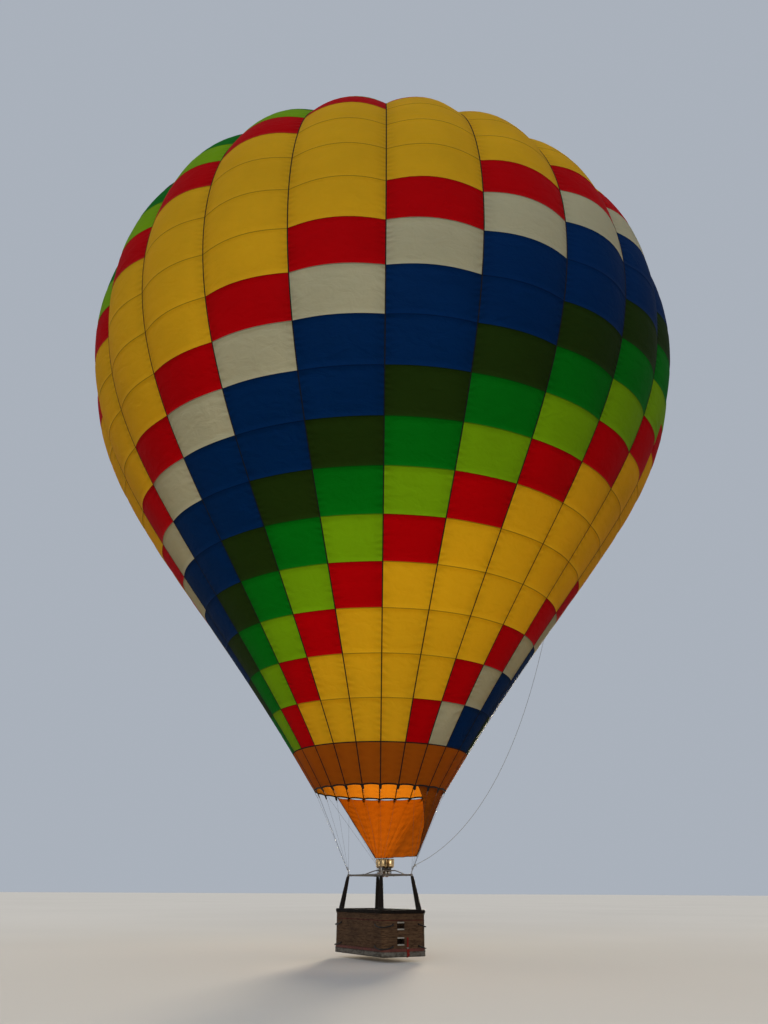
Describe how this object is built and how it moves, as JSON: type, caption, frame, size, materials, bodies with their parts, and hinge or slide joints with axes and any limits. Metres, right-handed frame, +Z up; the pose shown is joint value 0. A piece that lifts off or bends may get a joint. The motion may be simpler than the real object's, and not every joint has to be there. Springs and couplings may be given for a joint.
{
  "type": "hot air balloon",
  "caption": "Hot air balloon with a teardrop envelope of coloured gores, a mouth scoop, a gimballed burner on a tube frame and a wicker basket slung on steel wires.",
  "frame": {"origin": "centre of lift: on the axis of the envelope at its widest ring, 17.65 m above the underside of the basket runners", "axes": "+Z up along the axis of the envelope; +Y along the length of the basket from the pilot's end to the passengers' end; +X across the basket"},
  "size_m": [19.3526, 19.3286, 26.0602],
  "materials": {
    "cloth_yellow": "satin",
    "cloth_red": "satin",
    "cloth_lime": "satin",
    "cloth_green": "satin",
    "cloth_darkgreen": "satin",
    "cloth_blue": "satin",
    "cloth_cream": "satin",
    "heatproof_cloth": "matte",
    "scoop_cloth": "matte",
    "tape_webbing": "matte",
    "steel_wire": "satin",
    "frame_steel": "satin",
    "alloy": "satin",
    "brass": "satin",
    "stainless": "satin",
    "black_leather": "satin",
    "wicker": "matte",
    "plywood": "matte",
    "hide_band": "matte",
    "rope": "matte",
    "red_strap": "matte"
  },
  "bodies": {
    "airframe": {"gore_01": "cloth_red", "gore_02": "cloth_yellow", "gore_03": "cloth_yellow", "gore_04": "cloth_yellow", "gore_05": "cloth_yellow", "gore_06": "cloth_red", "gore_07": "cloth_cream", "gore_08": "cloth_blue", "gore_09": "cloth_blue", "gore_10": "cloth_darkgreen", "gore_11": "cloth_green", "gore_12": "cloth_lime", "gore_13": "cloth_red", "gore_14": "cloth_yellow", "gore_15": "cloth_yellow", "gore_16": "cloth_yellow", "gore_17": "cloth_yellow", "gore_18": "cloth_red", "gore_19": "cloth_cream", "gore_20": "cloth_blue", "gore_21": "cloth_blue", "gore_22": "cloth_darkgreen", "gore_23": "cloth_green", "gore_24": "cloth_lime", "mouth_band": "heatproof_cloth", "crown_tapes": "tape_webbing", "scoop": "scoop_cloth", "flying_wires_front_left": "steel_wire", "flying_wires_front_right": "steel_wire", "flying_wires_back_right": "steel_wire", "flying_wires_back_left": "steel_wire", "burner_frame": "frame_steel", "upright_front_left": "black_leather", "upright_front_right": "black_leather", "upright_back_right": "black_leather", "upright_back_left": "black_leather", "basket_wall": "wicker", "basket_floor": "plywood", "basket_rim": "black_leather", "base_skirt": "hide_band", "runner_1": "plywood", "runner_2": "plywood", "runner_3": "plywood", "partition_cross": "wicker", "partition_long": "wicker", "fuel_cylinder_1": "stainless", "fuel_cylinder_2": "stainless", "fuel_cylinder_3": "stainless", "fuel_cylinder_4": "stainless", "crown_line": "rope"},
    "vent": {"parachute_vent": "cloth_yellow"},
    "gimbal": {"gimbal_ring": "alloy"},
    "burner": {"burner_block": "brass", "burner_can_1": "stainless", "burner_can_2": "stainless", "burner_can_3": "stainless", "burner_can_4": "stainless"}
  },
  "joints": [
    {"name": "vent_slide", "type": "slide", "parent": "airframe", "child": "vent", "axis": [0, 0, -1], "range_m": [0, 1.6]},
    {"name": "gimbal_tilt", "type": "hinge", "parent": "airframe", "child": "gimbal", "pos_m": [0, -0.3, -15.64], "axis": [0, 1, 0], "range_deg": [-15, 15]},
    {"name": "burner_tilt", "type": "hinge", "parent": "gimbal", "child": "burner", "pos_m": [0, -0.3, -15.64], "axis": [1, 0, 0], "range_deg": [-15, 15]}
  ]
}
